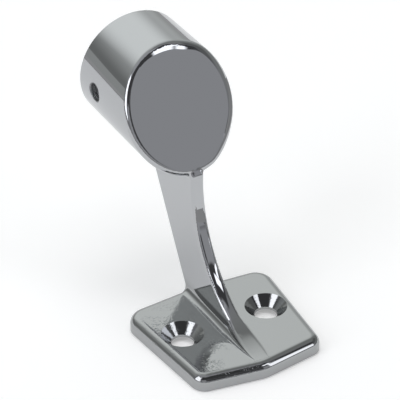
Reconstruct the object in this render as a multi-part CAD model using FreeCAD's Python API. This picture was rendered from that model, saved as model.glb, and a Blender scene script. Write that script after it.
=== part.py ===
import FreeCAD, Part
import math
import os

# End bracket for a tubular handrail: one polished stainless casting, sizes in millimetres.
# A six-sided deck plate with two countersunk holes carries a thin curved blade. The blade leans back
# and up into a blind socket that takes the end of the rail tube, and a tapped hole in the left wall of
# the socket takes the screw that locks the tube.
# The origin is midway between the deck screws on the underside of the plate, +Z is up from the deck,
# +Y is the way the tube leaves the socket, and X runs across the plate.

# Rail tube and socket
tube_diameter = 22.0
tube_gap = 0.15  # clearance all round the tube
socket_wall = 2.35
socket_depth = 14.5  # how far the tube goes in
socket_length = 23.6  # closed end to mouth, along the axis
rail_height = 49.5  # tube axis above the deck
socket_setback = 19.6  # closed end, on the axis, behind the deck screws
lean_angle = 30.0  # the closed end and the back of the blade both lean this far from upright
end_rim_radius = 1.3
mouth_rim_bevel = 0.4
mouth_lead_in = 0.6

# Screw that locks the tube, through the left wall halfway along the tube
lock_hole_diameter = 4.2  # tapping size of M5
lock_hole_edge = 0.25

# Deck plate
plate_thickness = 4.05
plate_width = 37.6  # across the back corners
plate_taper = 5.3  # how much narrower it is across the front corners
plate_back = 14.0  # back corners behind the screws
plate_front = 16.8  # front corners ahead of the screws
plate_tail = 15.5  # the back edge comes to a blunt point here, under the blade
plate_nose = 19.35  # and so does the front edge
back_corner_radius = 4.5
front_corner_radius = 3.5
tail_radius = 12.0
nose_radius = 9.0
plate_top_radius = 2.2
plate_foot_bevel = 0.3

# Deck screws, M5 countersunk
screw_spacing = 21.8
screw_hole_diameter = 5.3
countersink_diameter = 9.8
countersink_angle = 90.0

# Shallow pockets in the underside, one round each screw, that leave a rim and a rib under the blade
pocket_depth = 1.15
pocket_rim = 2.6
pocket_rib = 7.4  # width of the rib
pocket_corner_radius = 2.5

# Blade between the plate and the socket
blade_thickness = 3.2
blade_edge_radius = 0.8
blade_inset = 0.3  # front edge behind the lowest point of the closed end
shoulder_radius = 1.6  # where the front edge turns back into the socket
shoulder_gap = 0.1  # start of that turn below the socket
upright_length = 1.15  # front edge between the turn and the sweep
sweep_margin = 0.75  # the front edge sweeps down to lie flat on the plate, this far short of its nose
foot_fillet = 2.0
crown_fillet = 1.3

# Ridge that carries the front of the blade out along the plate until it dies away
ridge_step = 1.4  # height of the blade above its foot fillet where the ridge takes over
ridge_brow = 0.9  # height of its rounded edge there
ridge_margin = 1.6  # tip of the ridge short of the end of the sweep
ridge_sink = 1.0  # how deep it stands in the plate
ridge_sections = 5
ridge_tip_width = 0.625  # width left at the tip, as a share of the width at the start
ridge_swell = 0.3  # how much wider its crest is halfway along
ridge_sharpening = 0.6  # how much of the rounding of its edges goes by the tip
ridge_tip_height = 0.012
ridge_ease = 0.04  # lowers the crest towards the tip

V = FreeCAD.Vector
socket_radius = tube_diameter / 2 + tube_gap + socket_wall
bore_radius = tube_diameter / 2 + tube_gap
mouth_y = socket_setback + socket_length
lock_hole_y = mouth_y - socket_depth / 2
lean = math.tan(math.radians(lean_angle))
half_blade = blade_thickness / 2
blade_front = socket_setback - socket_radius * lean + blade_inset
shoulder_height = rail_height - socket_radius - shoulder_gap
sweep_top = shoulder_height - upright_length
sweep_end = sweep_margin - plate_nose
sweep_rise = sweep_top - plate_thickness
sweep_run = blade_front - sweep_end
ridge_height = foot_fillet + ridge_step
ridge_start = sweep_end + sweep_run * math.sqrt(1 - (1 - ridge_height / sweep_rise) ** 2)
ridge_tip = sweep_end + ridge_margin


def blade_height(y):
    """Height of the blade's front edge above the plate, along the quarter ellipse of its sweep."""
    return sweep_rise * (1 - math.sqrt(1 - ((y - sweep_end) / sweep_run) ** 2))


def line(a, b):
    return Part.makeLine(a, b)


def corner_curve(a, corner, b):
    curve = Part.BezierCurve()
    curve.setPoles([a, corner, b])
    return curve.toShape()


def edges_where(solid, test):
    return [edge for edge in solid.Edges if test(edge)]


def upright_at(x, y):
    def test(edge):
        return all(abs(v.X - x) < 0.01 and abs(v.Y - y) < 0.01 for v in edge.Vertexes)
    return test


def level_at(z):
    def test(edge):
        return all(abs(v.Z - z) < 1e-5 for v in edge.Vertexes)
    return test


def on_plane_y(y):
    def test(edge):
        return abs(edge.BoundBox.YMin - y) < 1e-4 and abs(edge.BoundBox.YMax - y) < 1e-4
    return test


def seam_between(first, second, keep):
    """Edges of the joined body that lie on the skins of both bodies, where keep(edge) holds."""
    def test(edge):
        if edge.Length < 1e-3 or not keep(edge):
            return False
        points = [Part.Vertex(p) for p in edge.discretize(5)[1:-1]]
        return all(body.distToShape(p)[0] < 1e-3 for body in (first, second) for p in points)
    return test


def make_plate():
    right = [V(plate_width / 2, plate_back, 0), V((plate_width - plate_taper) / 2, -plate_front, 0)]
    left = [V(-p.x, p.y, 0) for p in reversed(right)]
    corners = [V(0, plate_tail, 0)] + right + [V(0, -plate_nose, 0)] + left
    radii = [tail_radius, back_corner_radius, front_corner_radius,
             nose_radius, front_corner_radius, back_corner_radius]
    plate = Part.Face(Part.makePolygon(corners + corners[:1])).extrude(V(0, 0, plate_thickness))
    for corner, radius in zip(corners, radii):
        plate = plate.makeFillet(radius, edges_where(plate, upright_at(corner.x, corner.y)))
    plate = plate.makeFillet(plate_top_radius, edges_where(plate, level_at(plate_thickness)))
    plate = plate.makeChamfer(plate_foot_bevel, edges_where(plate, level_at(0)))
    return plate.cut([make_pocket(side) for side in (-1, 1)])


def make_pocket(side):
    inner = side * pocket_rib / 2
    back = side * (plate_width / 2 - pocket_rim)
    front = back - side * plate_taper / 2
    corners = [V(inner, plate_back - pocket_rim, 0), V(back, plate_back - pocket_rim, 0),
               V(front, pocket_rim - plate_front, 0), V(inner, pocket_rim - plate_front, 0)]
    pocket = Part.Face(Part.makePolygon(corners + corners[:1])).extrude(V(0, 0, pocket_depth))
    for corner in corners:
        pocket = pocket.makeFillet(pocket_corner_radius, edges_where(pocket, upright_at(corner.x, corner.y)))
    return pocket


def make_blade():
    def at(y, z):
        return V(-half_blade, y, z)

    def back(z):
        return at(plate_tail + (z - plate_thickness) * lean, z)

    start = at(ridge_start, plate_thickness + ridge_height)
    upright = at(blade_front, sweep_top)
    sweep = Part.BezierCurve()
    sweep.setPoles([upright, at(blade_front, plate_thickness), at(sweep_end, plate_thickness)])
    sweep.setWeight(2, math.sqrt(0.5))
    sweep.segment(0, sweep.parameter(start))
    shoulder = at(blade_front, shoulder_height)
    inset = shoulder_radius * (1 - math.sqrt(0.5))
    turn = at(blade_front + inset, shoulder_height + shoulder_radius - inset)
    top = at(blade_front + shoulder_radius, shoulder_height + shoulder_radius)
    root = plate_thickness / 2
    outline = Part.Wire([
        sweep.toShape(), line(upright, shoulder),
        Part.Arc(shoulder, turn, top).toShape(), line(top, back(top.z)), line(back(top.z), back(root)),
        line(back(root), at(ridge_start, root)), line(at(ridge_start, root), start)])
    blade = Part.Face(outline).extrude(V(blade_thickness, 0, 0))

    def long_edge(edge):
        ends = edge.Vertexes
        rises = max(v.Z for v in ends) - min(v.Z for v in ends) > upright_length / 2
        return abs(ends[0].X - ends[-1].X) < 1e-6 and rises and edge.BoundBox.YMax > ridge_start + blade_edge_radius

    return blade.makeFillet(blade_edge_radius, edges_where(blade, long_edge))


def make_ridge(stem):
    """Loft forward from the front face of the foot, shrinking every section with the blade's height."""
    top = plate_thickness
    sunk = top - ridge_sink
    front = [face for face in stem.Faces if on_plane_y(ridge_start)(face)][0]
    half_foot = half_blade + foot_fillet

    def base(y, half):
        return [line(V(half, y, top), V(half, y, sunk)), line(V(half, y, sunk), V(-half, y, sunk)),
                line(V(-half, y, sunk), V(-half, y, top))]

    seat = Part.Wire(base(ridge_start, half_foot) + [line(V(-half_foot, ridge_start, top),
                                                          V(half_foot, ridge_start, top))])
    sections = [front.fuse(Part.Face(seat)).removeSplitter().Faces[0].OuterWire]
    for step in range(1, ridge_sections + 1):
        share = step / ridge_sections
        y = ridge_start + (ridge_tip - ridge_start) * share
        half = half_foot * (1 - (1 - ridge_tip_width) * share)
        flank = half_blade * (1 + ridge_swell * math.sin(math.pi * share))
        height = max(blade_height(y) - ridge_ease * share, ridge_tip_height)
        hollow = height * foot_fillet / ridge_height
        brow = height * ridge_brow / ridge_height
        flat = flank - blade_edge_radius * (1 - ridge_sharpening * share)
        profile = [V(-half, y, top), V(-flank, y, top), V(-flank, y, top + hollow),
                   V(-flank, y, top + height - brow), V(-flank, y, top + height), V(-flat, y, top + height)]
        mirror = [V(-p.x, p.y, p.z) for p in profile]
        sections.append(Part.Wire(
            [corner_curve(*profile[:3]), line(*profile[2:4]), corner_curve(*profile[3:]),
             line(profile[5], mirror[5]), corner_curve(*mirror[:2:-1]), line(mirror[3], mirror[2]),
             corner_curve(*mirror[2::-1])] + base(y, half)))
    return Part.makeLoft(sections, True)


def make_socket():
    """Solid round bar, cut to the lean at the closed end."""
    reach = 3 * socket_radius
    bar = Part.makeCylinder(socket_radius, reach, V(0, mouth_y - reach, rail_height), V(0, 1, 0))
    waste = Part.makeBox(2 * reach, reach, 2 * reach, V(-reach, -reach, -reach))
    waste.rotate(V(), V(1, 0, 0), -lean_angle)
    waste.translate(V(0, socket_setback, rail_height))
    bar = bar.cut(waste)

    def end_rim(edge):
        return all(abs(p.y - socket_setback - (p.z - rail_height) * lean) < 1e-3
                   for p in edge.discretize(5))

    bar = bar.makeFillet(end_rim_radius, edges_where(bar, end_rim))
    return bar.makeChamfer(mouth_rim_bevel, edges_where(bar, on_plane_y(mouth_y)))


def make_bore():
    bore = Part.makeCylinder(bore_radius, socket_depth, V(0, mouth_y - socket_depth, rail_height), V(0, 1, 0))
    lead_in = Part.makeCone(bore_radius, bore_radius + mouth_lead_in, mouth_lead_in,
                            V(0, mouth_y - mouth_lead_in, rail_height), V(0, 1, 0))
    return bore.fuse(lead_in)


def make_lock_hole():
    radius = lock_hole_diameter / 2
    hole = Part.makeCylinder(radius, socket_radius, V(0, lock_hole_y, rail_height), V(-1, 0, 0))
    edge = Part.makeCone(radius, radius + 2 * lock_hole_edge, 2 * lock_hole_edge,
                         V(lock_hole_edge - socket_radius, lock_hole_y, rail_height), V(-1, 0, 0))
    return hole.fuse(edge)


def make_deck_hole(x):
    radius = screw_hole_diameter / 2
    rim = countersink_diameter / 2
    sink = (rim - radius) / math.tan(math.radians(countersink_angle / 2))
    cone = Part.makeCone(radius, rim, sink, V(x, 0, plate_thickness - sink))
    above = Part.makeCylinder(rim, plate_thickness, V(x, 0, plate_thickness))
    through = Part.makeCylinder(radius, 2 * plate_thickness, V(x, 0, -plate_thickness))
    return through.fuse([cone, above]).removeSplitter()


plate = make_plate()
blade = make_blade()
socket = make_socket()

stem = plate.fuse(blade).removeSplitter()
foot_seam = seam_between(plate, blade, lambda e: e.BoundBox.YMax > ridge_start + blade_edge_radius
                         and e.BoundBox.ZMax < plate_thickness + 0.01)
stem = stem.makeFillet(foot_fillet, edges_where(stem, foot_seam))
stem = stem.fuse(make_ridge(stem))

body = stem.fuse(socket).removeSplitter()
crown_seam = seam_between(socket, blade, lambda e: True)
body = body.makeFillet(crown_fillet, edges_where(body, crown_seam))

holes = [make_bore(), make_lock_hole()] + [make_deck_hole(x) for x in (-screw_spacing / 2, screw_spacing / 2)]
body = body.cut(Part.makeCompound(holes))

os.makedirs("parts", exist_ok=True)
body.Solids[0].exportStep("parts/bracket_casting.step")
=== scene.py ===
import bpy
import math
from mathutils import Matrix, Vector


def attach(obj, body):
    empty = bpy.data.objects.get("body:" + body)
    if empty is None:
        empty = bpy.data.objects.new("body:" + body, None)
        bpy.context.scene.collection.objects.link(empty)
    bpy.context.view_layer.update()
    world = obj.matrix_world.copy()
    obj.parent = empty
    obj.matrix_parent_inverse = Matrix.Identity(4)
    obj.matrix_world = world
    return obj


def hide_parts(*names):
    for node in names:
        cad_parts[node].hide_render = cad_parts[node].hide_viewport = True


# End bracket for a tubular handrail, cast in stainless steel and polished to a mirror.
# It stands on a white sheet in a grey studio, between two tall lights. Lengths are in metres.
# The origin is midway between the deck screws, +Y is the way the tube leaves, +Z is up.

MM = 0.001

# Where the casting's forms lie, as in the CAD part
SOCKET_RADIUS = 13.5 * MM
BORE_RADIUS = 11.15 * MM
BORE_FLOOR = 28.7 * MM  # behind the deck screws
RAIL_HEIGHT = 49.5 * MM
PLATE_TOP = 4.05 * MM
SCREW_SPREAD = 10.9 * MM  # each deck screw from the middle
CONE_RADIUS = 5.0 * MM  # countersinks, at the top of the plate
CLOSED_END = 19.6 * MM  # behind the deck screws, on the tube's axis
LEAN = math.radians(30)  # of the closed end
RIM_RADIUS = 1.3 * MM

# The polishing belt takes more off the rim of the closed end at the top and on the right
RIM_WEAR = 1.4 * MM  # added to the radius of the rim along the top
RIM_WEAR_RIGHT = 1.5 * MM  # and on the right
RIM_SWELL = 0.5 * MM  # how far the metal rolls out on the right
RIM_START = math.radians(13)  # turn of the rounding at the crisp edge that it leaves on the right
RIM_FACET = math.radians(12)  # turn of the belt's facet along the top
RIM_WEAR_SIDE = math.radians(60)  # where it takes most, from the top towards the right

# Tapped side hole, M5
HOLE_BACK = 35.95 * MM  # behind the deck screws
HOLE_RADIUS = 2.1 * MM
HOLE_START = 13.25 * MM  # from the tube's axis to the start of the thread, under the bevel of the mouth
THREAD_PITCH = 0.8 * MM
THREAD_DEPTH = 0.36 * MM
THREAD_COLUMNS = 72
THREAD_ROWS = 60

# Finish of the steel: darker towards the foot, and painted shade in the side hole and the bore
STEEL = (0.5, 0.509, 0.525, 1)
# the steel is darker and rougher towards the foot of the casting
FOOT_STEEL = (0.41, 0.418, 0.424, 1)
# painted shade: the inside of the side hole gets darker steel
SHADED_HOLE_STEEL = (0.26, 0.265, 0.275, 1)
# painted shade: the inside of the bore gets darker steel
SHADED_BORE_STEEL = (0.40, 0.405, 0.41, 1)
MIRROR_ROUGHNESS = 0.035
PLATE_ROUGHNESS = 0.07
TAPPED_ROUGHNESS = 0.45
BORE_ROUGHNESS = 0.32

# Height of what casting, cutting and polishing leave on the surface
LONG_WAVES = 0.010 * MM
RIPPLES = 0.016 * MM
PEEL = 0.009 * MM
PITS = 0.010 * MM
CONE_RINGS = 0.020 * MM
BORE_RINGS = 0.008 * MM
BORE_FEED = 0.22 * MM  # the turning tool's step from one ring to the next
FRONT_CROWN = 90.0  # the blade's front edge falls away by this times the square of x

# Studio
SHEET_DROP = 0.02 * MM  # keeps the sheet clear of the underside
SHEET_WHITE = 0.8
SHEET_GLOW = 0.30  # as it is seen
SHEET_SHINE = 0.19  # as the steel mirrors it
SHEET_REACH = 0.45  # the white ends this far away, at the sides and behind
SHEET_FRONT = 0.115  # and this far in front
STUDIO_REACH = 3.0
CARD_LIFT = 0.3 * MM
DARK_CARD_RIGHT = 0.09  # where the dark card starts, from the middle
DARK_CARD_BACK = 0.10  # and ends, behind the deck screws
SURROUND_GREY = 0.45
FRONT_GREY = 0.39
DARK_GREY = 0.33
CEILING_WATTS = 9.0
CEILING_LAMP_SIZE = 1.2
CEILING_HEIGHT = 1.6

# Camera, by compass angle and height in degrees
VIEW_COMPASS = -150.58
VIEW_HEIGHT = 34.48
VIEW_DISTANCE = 0.8231
VIEW_CENTRE = (0.00279, 0.01625, 0.02636)
VIEW_LENS = 325.9


# --- Node trees written as sums ---

class Node:
    """One output of a node. Sums and products of these add their Math nodes to the tree."""

    def __init__(self, tree, socket):
        self.tree = tree
        self.socket = socket

    def math(self, operation, *others):
        return math_node(self.tree, operation, self, *others)

    def __add__(self, other):
        return self.math("ADD", other)

    def __radd__(self, other):
        return self.math("ADD", other)

    def __sub__(self, other):
        return self.math("SUBTRACT", other)

    def __rsub__(self, other):
        return math_node(self.tree, "SUBTRACT", other, self)

    def __mul__(self, other):
        return self.math("MULTIPLY", other)

    def __rmul__(self, other):
        return self.math("MULTIPLY", other)

    def __truediv__(self, other):
        return self.math("DIVIDE", other)

    def __rtruediv__(self, other):
        return math_node(self.tree, "DIVIDE", other, self)

    def __abs__(self):
        return self.math("ABSOLUTE")

    def axes(self):
        split = make_node(self.tree, "ShaderNodeSeparateXYZ", inputs=(self,))
        return [Node(self.tree, output) for output in split.socket.node.outputs]


def feed(tree, socket, value):
    if isinstance(value, Node):
        tree.links.new(value.socket, socket)
    else:
        socket.default_value = value


def make_node(tree, kind, settings=None, out=0, inputs=(), **values):
    """Adds a node, sets its settings, then feeds its sockets: in order, or by name with _ for a space.

    Gives the output asked for, or nothing where the node has none.
    """
    node = tree.nodes.new(kind)
    for name, value in (settings or {}).items():
        setattr(node, name, value)
    for socket, value in zip(node.inputs, inputs):
        feed(tree, socket, value)
    for name, value in values.items():
        named = [socket for socket in node.inputs if socket.enabled and socket.name == name.replace("_", " ")]
        feed(tree, named[0], value)
    return Node(tree, node.outputs[out]) if node.outputs else None


def math_node(tree, operation, *inputs):
    return make_node(tree, "ShaderNodeMath", {"operation": operation}, inputs=inputs)


def ramp(value, low, high):
    """0 below low, 1 above high, smooth between. With low above high it falls instead."""
    return make_node(value.tree, "ShaderNodeMapRange", {"interpolation_type": "SMOOTHSTEP"},
                     Value=value, From_Min=low, From_Max=high)


def band(value, low, high, soft):
    return ramp(value, low - soft, low + soft) * ramp(value, high + soft, high - soft)


def blend(base, top, share):
    return base * (1 - share) + share * top


def mix_colours(base, top, share):
    return make_node(share.tree, "ShaderNodeMix", {"data_type": "RGBA"}, out=2, Factor=share, A=base, B=top)


def noise(place, per_metre, detail):
    return make_node(place.tree, "ShaderNodeTexNoise", Vector=place, Scale=per_metre, Detail=detail)


def from_axis(first, second):
    return (first * first + second * second).math("SQRT")


# --- Studio surroundings, by compass angle and height above the horizon, in degrees.
# Compass 0 is behind the bracket (+Y), 90 is its right (+X), -90 its left, 180 its front.

def compass_to_vector(compass, height):
    turn = math.radians(compass)
    rise = math.radians(height)
    return (math.sin(turn) * math.cos(rise), math.cos(turn) * math.cos(rise), math.sin(rise))


def build_world():
    world = bpy.data.worlds.new("grey studio")
    world.use_nodes = True
    tree = world.node_tree
    background = tree.nodes["Background"]
    direction = make_node(tree, "ShaderNodeTexCoord")
    x, y, z = direction.axes()
    compass = x.math("ARCTAN2", y) * (180 / math.pi)
    height = z.math("ARCSINE") * (180 / math.pi)
    front = abs(compass)  # 180 straight ahead of the bracket

    walls = ramp(height, 20, 60) * 0.06 + 0.42
    ceiling_behind = ramp(height, 40, 60) * band(compass, -80, 45, 12)
    light = blend(walls, 0.52, ceiling_behind)
    wall_behind_right = band(compass, 10, 64, 8) * ramp(height, -4, 12)
    light = blend(light, 0.62, wall_behind_right)

    lamp = compass_to_vector(6, 41)
    toward_lamp = make_node(tree, "ShaderNodeVectorMath", {"operation": "DOT_PRODUCT"}, out="Value",
                            inputs=(direction, lamp))
    lamp_glow = ramp(toward_lamp, math.cos(math.radians(38)), math.cos(math.radians(8)))
    light = blend(light, 1.08, lamp_glow)

    doorway = band(compass, -62, -20, 5) * ramp(height, 8.5, 10) * ramp(height, 33, 13)
    light = blend(light, 0.23, doorway)
    unlit_left = band(compass, -140, -60, 4) * ramp(height, 60, 50)
    light = blend(light, 0.27, unlit_left)
    unlit_right = band(compass, 60, 134, 8)
    light = blend(light, 0.30, unlit_right)
    cupboard_right = band(compass, 80, 134, 6) * band(height, 20, 45, 4)
    light = blend(light, 0.17, cupboard_right)

    # the operator's side, dark from chest height up
    dark_ahead = ramp(front, 118, 124) * band(height, 31, 64, 3)
    light = blend(light, 0.07, dark_ahead)
    grey_ahead = ramp(front, 128, 133) * ramp(height, 33, 28)
    light = blend(light, 0.43, grey_ahead)
    table_edge = band(compass, 128, 156, 3) * band(height, -6, 5, 2)
    light = blend(light, 0.10, table_edge)
    operator = ramp(front, 160, 164) * band(height, 11, 31, 2)
    light = blend(light, 0.09, operator)

    # tall lights: a broad one on the left, a narrow one ahead on the right with a wide head
    broad_light = band(compass, -113, -77, 2) * band(height, 8, 53, 1.5)
    light = blend(light, 2.4, broad_light)
    narrow_light = band(compass, 134, 143, 1) * band(height, 7, 40, 1)
    light = blend(light, 2.2, narrow_light)
    light_head = band(compass, 130, 157, 2) * band(height, 41, 50, 1)
    light = blend(light, 2.2, light_head)
    feed(tree, background.inputs["Strength"], light)

    bluish = ramp(front, 90, 130) + ramp(compass, -50, -65)
    feed(tree, background.inputs["Color"], mix_colours((0.97, 1.0, 0.98, 1), (0.97, 0.98, 1.02, 1), bluish))
    bpy.context.scene.world = world


# --- Steel ---

def build_steel():
    material = bpy.data.materials.new("polished_stainless")
    material.use_nodes = True
    tree = material.node_tree
    shader = tree.nodes["Principled BSDF"]
    shader.inputs["Metallic"].default_value = 1
    place = make_node(tree, "ShaderNodeTexCoord", out="Object")
    x, y, z = place.axes()
    foot = ramp(z, 8.0 * MM, 4.6 * MM)
    hole = inside_side_hole(x, y, z)
    bore = inside_bore(x, y, z)
    colour = mix_colours(STEEL, FOOT_STEEL, foot)
    # painted shade darkens the inside of the side hole
    colour = mix_colours(colour, SHADED_HOLE_STEEL, hole)
    # painted shade darkens the inside of the bore
    colour = mix_colours(colour, SHADED_BORE_STEEL, bore)
    feed(tree, shader.inputs["Base Color"], colour)
    wiped = noise(place, 260.0, 3.0) * 0.6 + 0.7
    roughness = blend(MIRROR_ROUGHNESS, PLATE_ROUGHNESS, foot) * wiped
    roughness = blend(roughness, TAPPED_ROUGHNESS, hole)
    roughness = blend(roughness, BORE_ROUGHNESS, bore)
    feed(tree, shader.inputs["Roughness"], roughness)
    height = plate_skin(place, x, z) + tool_marks(x, y, z) - front_crown(x, y, z)
    height = height + (noise(place, 90.0, 1.0) - 0.5) * LONG_WAVES
    feed(tree, shader.inputs["Normal"], make_node(tree, "ShaderNodeBump", Height=height, Distance=1.0))
    return material


def inside_side_hole(x, y, z):
    near_hole = from_axis(y - HOLE_BACK, z - RAIL_HEIGHT)
    return ramp(near_hole, HOLE_RADIUS + 0.4 * MM, HOLE_RADIUS + 0.15 * MM) * ramp(x, -10.0 * MM, -11.0 * MM)


def inside_bore(x, y, z):
    near_bore = from_axis(x, z - RAIL_HEIGHT)
    past_floor = ramp(y, BORE_FLOOR - 0.1 * MM, BORE_FLOOR)
    return ramp(near_bore, BORE_RADIUS + 0.15 * MM, BORE_RADIUS + 0.05 * MM) * past_floor


def plate_skin(place, x, z):
    """Orange peel and pits of the cast skin, where the left half of the plate was polished less."""
    left = ramp(x, 2.0 * MM, -6.0 * MM) * ramp(z, 6.0 * MM, 4.5 * MM)
    peel = (noise(place, 330.0, 2.0) - 0.5) * RIPPLES + (noise(place, 1100.0, 3.0) - 0.5) * PEEL
    patches = ramp(noise(place, 240.0, 1.0), 0.44, 0.56)
    pits = ramp(noise(place, 1900.0, 2.0), 0.52, 0.66)
    return left * (peel - pits * patches * PITS)


def tool_marks(x, y, z):
    """Rings that the countersinking tool and the boring tool leave."""
    screw = from_axis(abs(x) - SCREW_SPREAD, y)
    rings = make_node(x.tree, "ShaderNodeTexNoise", {"noise_dimensions": "1D"},
                      W=screw, Scale=1900.0, Detail=2.0)
    under_top = ramp(z, PLATE_TOP - 0.05 * MM, PLATE_TOP - 0.2 * MM)
    cone = ramp(screw, CONE_RADIUS + 0.1 * MM, CONE_RADIUS - 0.1 * MM) * under_top
    turned = (y / BORE_FEED).math("PINGPONG", 0.5) * inside_bore(x, y, z)
    return (rings - 0.5) * cone * CONE_RINGS + turned * BORE_RINGS


def front_crown(x, y, z):
    """The polishing belt crowns the lower part of the blade's front edge."""
    facing = make_node(x.tree, "ShaderNodeAttribute", {"attribute_name": "facing_front"}, out="Fac")
    lower = ramp(z, 6.0 * MM, 9.0 * MM) * ramp(z, 17.5 * MM, 14.5 * MM)
    edge = ramp(facing, 0.45, 0.6) * ramp(abs(x), 1.9 * MM, 1.5 * MM) * lower
    return x * x * edge * FRONT_CROWN


# --- The casting, with the finish of its edges ---

def smooth_step(value, low, high):
    share = min(max((value - low) / (high - low), 0), 1)
    return share * share * (3 - 2 * share)


def rim_turn(out_z, turned):
    """The rim's normal once it has turned so far from the flat: its parts away from the axis and forwards."""
    outward = math.sin(turned) / math.sqrt(1 - (out_z * math.sin(LEAN)) ** 2)
    return outward, math.cos(turned) - outward * out_z * math.sin(LEAN)


def rim_normal(out_x, out_z, turned):
    outward, faceward = rim_turn(out_z, turned)
    return Vector((outward * out_x, -faceward * math.cos(LEAN), outward * out_z + faceward * math.sin(LEAN)))


def worn_rim(point):
    """Where a point of the closed end's rounded rim lies on the worn rim, and the normal there.

    The belt makes the rounding wider at the top and on the right. Along the top it leaves a facet, and on
    the right a crisp edge round the flat. Other points stay, and get no normal.
    """
    sine = math.sin(LEAN)
    cosine = math.cos(LEAN)
    across, back, up = point - Vector((0, CLOSED_END, RAIL_HEIGHT))
    depth = back * cosine - up * sine  # below the flat of the closed end
    if not -0.0001 * MM < depth < 1.5 * RIM_RADIUS:
        return point, None
    turned = math.acos(max(min(1 - depth / RIM_RADIUS, 1), -0.5))
    # which way out from the axis the point lies: the rounding's lift depends on it, so it is closed in on
    out = Vector((across, up)).normalized()
    for _ in range(6):
        outward, faceward = rim_turn(out.y, turned)
        out = Vector((across, up - RIM_RADIUS * faceward * sine)).normalized()
    out_x, out_z = out
    reach = SOCKET_RADIUS - RIM_RADIUS + RIM_RADIUS * outward
    missed = math.hypot(across - reach * out_x, up - reach * out_z - RIM_RADIUS * faceward * sine)
    worn = smooth_step(math.cos(math.atan2(out_x, out_z) - RIM_WEAR_SIDE), -0.2, 0.5)
    if worn == 0 or missed > 0.05 * MM:
        return point, None

    right = smooth_step(out_x, 0.3, 0.75) * worn
    start = RIM_START * right
    full = math.atan2(math.sqrt(1 - (out_z * sine) ** 2), out_z * sine)  # turned where it meets the side
    turned = start + (full - start) * min(turned / full, 1)
    radius = RIM_RADIUS + worn * (RIM_WEAR * (1 - right) + RIM_WEAR_RIGHT * right)
    centre = SOCKET_RADIUS - radius + RIM_SWELL * right
    centre_back = (radius * math.cos(start) + centre * out_z * sine) / cosine
    middle = Vector((centre * out_x, CLOSED_END + centre_back, RAIL_HEIGHT + centre * out_z))
    facet = smooth_step(out_z, 0.72, 0.85) * (1 - smooth_step(turned, 0.25, 0.65))
    shading = rim_normal(out_x, out_z, turned + (RIM_FACET - turned) * facet)
    return middle + radius * rim_normal(out_x, out_z, turned), shading


def on_side_hole_wall(corners):
    """True for a face of the plain wall of the side hole, which the thread takes the place of."""
    return all(abs(math.hypot(corner.y - HOLE_BACK, corner.z - RAIL_HEIGHT) - HOLE_RADIUS) < 0.02 * MM
               and -HOLE_START - 0.01 * MM < corner.x < 0 for corner in corners)


def build_casting(node, steel):
    """A joined-up copy of the CAD node, smoothly shaded, with a worn rim and a thread in its side hole."""
    source = node.data
    places = {}
    faces = []
    normals = []
    wall = set()
    for face in source.polygons:
        corners = [source.vertices[k].co for k in face.vertices]
        keys = [places.setdefault(tuple(corner), len(places)) for corner in corners]
        if on_side_hole_wall(corners):
            wall.update(keys)
        elif len(set(keys)) == len(keys):
            faces.append(keys)
            normals.append([source.corner_normals[k].vector.copy() for k in face.loop_indices])
    worn = [worn_rim(Vector(place)) for place in places]
    points = [point for point, _ in worn]
    for keys, own in zip(faces, normals):
        if not is_flat(own):
            own[:] = [worn[key][1] or normal for key, normal in zip(keys, own)]
    kept = {key for keys in faces for key in keys}
    add_thread(points, faces, normals, sorted(wall & kept), steel)

    mesh = bpy.data.meshes.new("casting")
    mesh.from_pydata(points, [], faces)
    mesh.polygons.foreach_set("use_smooth", [True] * len(faces))
    shading = shared_normals(len(points), faces, normals)
    mesh.normals_split_custom_set(shading)
    facing = mesh.attributes.new("facing_front", "FLOAT", "CORNER")
    facing.data.foreach_set("value", [-normal.y for normal in shading])
    mesh.materials.append(steel)
    casting = bpy.data.objects.new("casting", mesh)
    bpy.context.scene.collection.objects.link(casting)
    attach(casting, "root")
    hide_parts("bracket_casting")


def is_flat(normals):
    return min(normals[0].dot(normals[1]), normals[0].dot(normals[2])) > 1 - 1e-6


def shared_normals(count, faces, normals):
    """One normal for each corner: the mean of those round its point that differ by under 9 degrees.

    A flat face keeps its own, and the rounded faces that run into it take it over at their edge.
    """
    close = math.cos(math.radians(9))
    around = [[] for _ in range(count)]
    for keys, own in zip(faces, normals):
        for key, normal in zip(keys, own):
            around[key].append((normal, is_flat(own)))
    shared = []
    for keys, own in zip(faces, normals):
        for key, normal in zip(keys, own):
            near = [(other, level) for other, level in around[key] if other.dot(normal) > close]
            levels = [other for other, level in near if level]
            if is_flat(own):
                shared.append(normal)
            elif levels:
                shared.append(levels[0])
            else:
                shared.append(sum((other for other, _ in near), Vector()).normalized())
    return shared


# --- Thread of the side hole ---

def add_thread(points, faces, normals, rings, steel):
    """Puts the threaded wall between the two rings that the plain wall of the side hole left open."""
    mesh = build_thread(steel)
    uses = {}
    for face in mesh.polygons:
        for edge in face.edge_keys:
            uses[edge] = uses.get(edge, 0) + 1
    ends = {key for edge, count in uses.items() if count == 1 for key in edge}
    joined = []
    for vertex in mesh.vertices:
        if vertex.index in ends:
            joined.append(min(rings, key=lambda key: (points[key] - vertex.co).length))
        else:
            joined.append(len(points))
            points.append(vertex.co.copy())
    for face in mesh.polygons:
        corners = [(joined[mesh.loops[k].vertex_index], mesh.corner_normals[k].vector.copy())
                   for k in face.loop_indices]
        corners = [corner for n, corner in enumerate(corners) if corner[0] != corners[n - 1][0]]
        if len(corners) > 2:
            faces.append([key for key, _ in corners])
            normals.append([normal for _, normal in corners])


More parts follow.
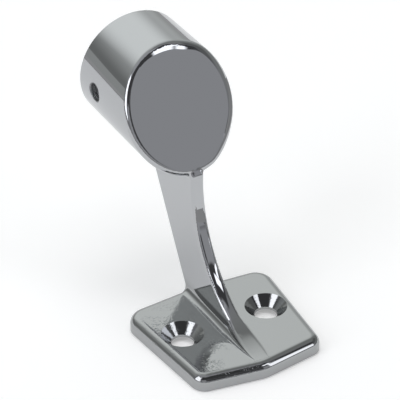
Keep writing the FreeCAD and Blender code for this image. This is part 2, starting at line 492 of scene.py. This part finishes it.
def build_thread(steel):
    """A sheet rolled into the wall of the hole, that steps outwards into a helical groove."""
    tree = bpy.data.node_groups.new("side hole thread", "GeometryNodeTree")
    sizes = {"Hole radius": HOLE_RADIUS, "Start": HOLE_START, "Bore radius": BORE_RADIUS,
             "Pitch": THREAD_PITCH, "Depth": THREAD_DEPTH, "Height": RAIL_HEIGHT, "Back": HOLE_BACK}
    for name in sizes:
        tree.interface.new_socket(name, in_out="INPUT", socket_type="NodeSocketFloat")
    tree.interface.new_socket("Steel", in_out="INPUT", socket_type="NodeSocketMaterial")
    tree.interface.new_socket("Thread", in_out="OUTPUT", socket_type="NodeSocketGeometry")
    given = make_node(tree, "NodeGroupInput").socket.node.outputs
    radius, start, bore, pitch, depth, height, back = (Node(tree, given[name]) for name in sizes)

    sheet = make_node(tree, "GeometryNodeMeshGrid", Size_X=1.0, Size_Y=1.0,
                      Vertices_X=THREAD_COLUMNS + 1, Vertices_Y=THREAD_ROWS + 1)
    x, y, _ = make_node(tree, "GeometryNodeInputPosition").axes()
    turn = x * (2 * math.pi)
    sideways = turn.math("SINE")
    upwards = turn.math("COSINE")
    share = y + 0.5  # of the way from the mouth to the bore
    bore_wall = (bore * bore - (radius * upwards).math("POWER", 2.0)).math("SQRT")
    along = start + (bore_wall - start) * share
    groove = ramp((along / pitch + x).math("PINGPONG", 0.5) * 2, 0.15, 0.8)
    fade = ramp(share, 0.0, 0.07) * ramp(share, 1.0, 0.93)
    reach = radius + groove * fade * depth
    place = make_node(tree, "ShaderNodeCombineXYZ",
                      X=along * -1, Y=back + reach * sideways, Z=height + reach * upwards)
    wall = make_node(tree, "GeometryNodeSetPosition", Geometry=sheet, Position=place)
    wall = make_node(tree, "GeometryNodeMergeByDistance", Geometry=wall, Distance=0.001 * MM)
    wall = make_node(tree, "GeometryNodeSetShadeSmooth", Geometry=wall)
    wall = make_node(tree, "GeometryNodeRealizeInstances", Geometry=wall)
    wall = make_node(tree, "GeometryNodeSetMaterial", Geometry=wall, Material=Node(tree, given["Steel"]))
    make_node(tree, "NodeGroupOutput", Thread=wall)

    carrier = bpy.data.objects.new("thread carrier", bpy.data.meshes.new("thread carrier"))
    bpy.context.scene.collection.objects.link(carrier)
    modifier = carrier.modifiers.new("thread", "NODES")
    modifier.node_group = tree
    for socket in tree.interface.items_tree:
        if socket.in_out == "INPUT":
            modifier[socket.identifier] = sizes.get(socket.name, steel)
    bpy.context.view_layer.update()
    mesh = bpy.data.meshes.new_from_object(carrier.evaluated_get(bpy.context.evaluated_depsgraph_get()))
    bpy.data.objects.remove(carrier)
    return mesh


# --- White sheet under the bracket, and the grey cards round it that only the steel mirrors ---

def flat_panel(name, low, high, z, material):
    mesh = bpy.data.meshes.new(name)
    corners = [(low[0], low[1], z), (high[0], low[1], z), (high[0], high[1], z), (low[0], high[1], z)]
    mesh.from_pydata(corners, [], [(0, 1, 2, 3)])
    mesh.materials.append(material)
    panel = bpy.data.objects.new(name, mesh)
    bpy.context.scene.collection.objects.link(panel)
    return panel


def build_sheet():
    material = bpy.data.materials.new("white sheet")
    material.use_nodes = True
    tree = material.node_tree
    shader = tree.nodes["Principled BSDF"]
    shader.inputs["Base Color"].default_value = (SHEET_WHITE, SHEET_WHITE, SHEET_WHITE, 1)
    shader.inputs["Roughness"].default_value = 1
    shader.inputs["Specular IOR Level"].default_value = 0
    shader.inputs["Emission Strength"].default_value = 1
    rays = make_node(tree, "ShaderNodeLightPath").socket.node.outputs
    seen = Node(tree, rays["Is Camera Ray"]) + Node(tree, rays["Is Transmission Ray"])
    glow = seen * SHEET_GLOW + Node(tree, rays["Is Glossy Ray"]) * SHEET_SHINE
    feed(tree, shader.inputs["Emission Color"], glow)
    flat_panel("sheet", (-STUDIO_REACH, -STUDIO_REACH), (STUDIO_REACH, STUDIO_REACH), -SHEET_DROP, material)


def glow_material(name, strength):
    material = bpy.data.materials.new(name)
    material.use_nodes = True
    tree = material.node_tree
    tree.nodes.remove(tree.nodes["Principled BSDF"])
    glow = make_node(tree, "ShaderNodeEmission", Strength=strength)
    feed(tree, tree.nodes["Material Output"].inputs["Surface"], glow)
    return material


def build_cards():
    surround = glow_material("grey surround", SURROUND_GREY)
    front = glow_material("grey front", FRONT_GREY)
    dark = glow_material("dark grey front", DARK_GREY)
    far = STUDIO_REACH
    cards = [
        flat_panel("card behind", (-far, SHEET_REACH), (far, far), CARD_LIFT, surround),
        flat_panel("card left", (-far, -SHEET_FRONT), (-SHEET_REACH, SHEET_REACH), CARD_LIFT, surround),
        flat_panel("card right", (SHEET_REACH, -SHEET_FRONT), (far, SHEET_REACH), CARD_LIFT, surround),
        flat_panel("card in front", (-far, -far), (far, -SHEET_FRONT), CARD_LIFT, front),
        flat_panel("card right ahead", (DARK_CARD_RIGHT, -SHEET_FRONT), (far, DARK_CARD_BACK),
                   2 * CARD_LIFT, dark),
    ]
    for card in cards:
        card.visible_camera = False
        card.visible_diffuse = False
        card.visible_shadow = False


def build_ceiling_lamp():
    """Broad soft light from above for the sheet. The steel doesn't mirror the lamp itself."""
    data = bpy.data.lights.new("ceiling lamp", "AREA")
    data.size = CEILING_LAMP_SIZE
    data.energy = CEILING_WATTS
    lamp = bpy.data.objects.new("ceiling lamp", data)
    lamp.location = (0, 0, CEILING_HEIGHT)
    lamp.visible_glossy = False
    bpy.context.scene.collection.objects.link(lamp)


def build_camera():
    back = Vector(compass_to_vector(VIEW_COMPASS, VIEW_HEIGHT))
    data = bpy.data.cameras.new("camera")
    data.sensor_width = 36
    data.lens = VIEW_LENS
    data.clip_end = 20
    camera = bpy.data.objects.new("camera", data)
    camera.location = Vector(VIEW_CENTRE) + back * VIEW_DISTANCE
    camera.rotation_euler = back.to_track_quat("Z", "Y").to_euler()
    bpy.context.scene.collection.objects.link(camera)
    bpy.context.scene.camera = camera


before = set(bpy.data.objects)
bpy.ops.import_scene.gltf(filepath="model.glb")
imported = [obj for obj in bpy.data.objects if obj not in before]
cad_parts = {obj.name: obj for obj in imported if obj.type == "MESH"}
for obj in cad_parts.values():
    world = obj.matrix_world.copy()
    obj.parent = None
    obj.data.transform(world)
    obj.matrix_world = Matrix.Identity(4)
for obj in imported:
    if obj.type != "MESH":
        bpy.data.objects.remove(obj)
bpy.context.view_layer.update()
build_casting(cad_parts["bracket_casting"], build_steel())
build_sheet()
build_cards()
build_ceiling_lamp()
build_world()
build_camera()
bpy.context.scene.view_settings.view_transform = "Standard"
